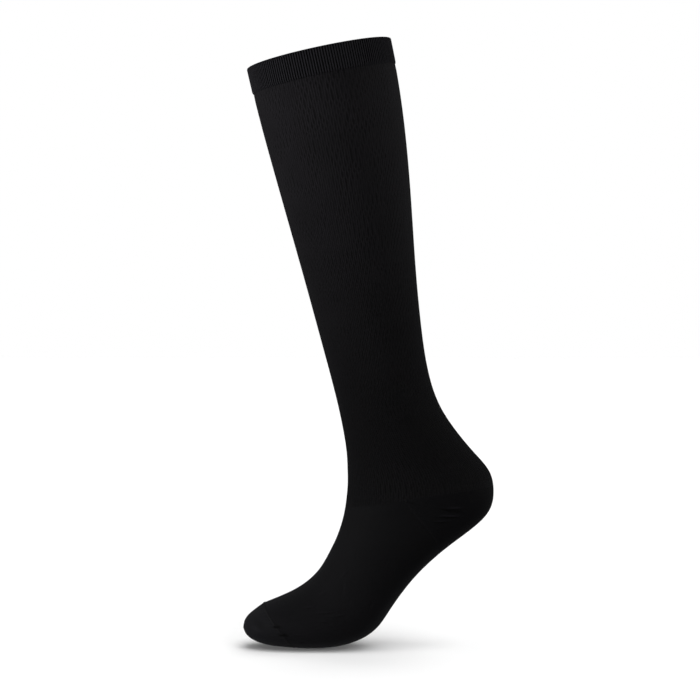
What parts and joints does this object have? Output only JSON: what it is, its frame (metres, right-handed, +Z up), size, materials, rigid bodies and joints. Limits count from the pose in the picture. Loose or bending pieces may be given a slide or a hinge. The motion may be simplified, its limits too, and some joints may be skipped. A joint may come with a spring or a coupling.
{
  "type": "knee-high compression stocking",
  "caption": "Knee-high compression stocking, hollow and filled out as worn, with a turned ribbed welt, ribbed leg, reinforced heel pocket and closed, seamed toe.",
  "frame": {"origin": "centre of the cuff's opening, where the wearer's leg goes in", "axes": "+Z up the leg, -X towards the toes, Y across; the stocking is the same on both sides of the XZ plane"},
  "size_m": [0.2027, 0.1086, 0.4919],
  "materials": {
    "cuff_yarn": "black 1x1 rib knit, turned double, soft satin sheen",
    "leg_yarn": "black fine rib knit of nylon and elastane, matt with a soft sheen at the edges",
    "heel_yarn": "black reinforced plain knit, matt",
    "foot_yarn": "black plain knit, matt with a soft sheen",
    "toe_yarn": "black reinforced plain knit, matt with a soft sheen"
  },
  "bodies": {
    "root": {"cuff": "cuff_yarn", "leg": "leg_yarn", "heel": "heel_yarn", "foot": "foot_yarn", "toe": "toe_yarn"}
  },
  "joints": []
}
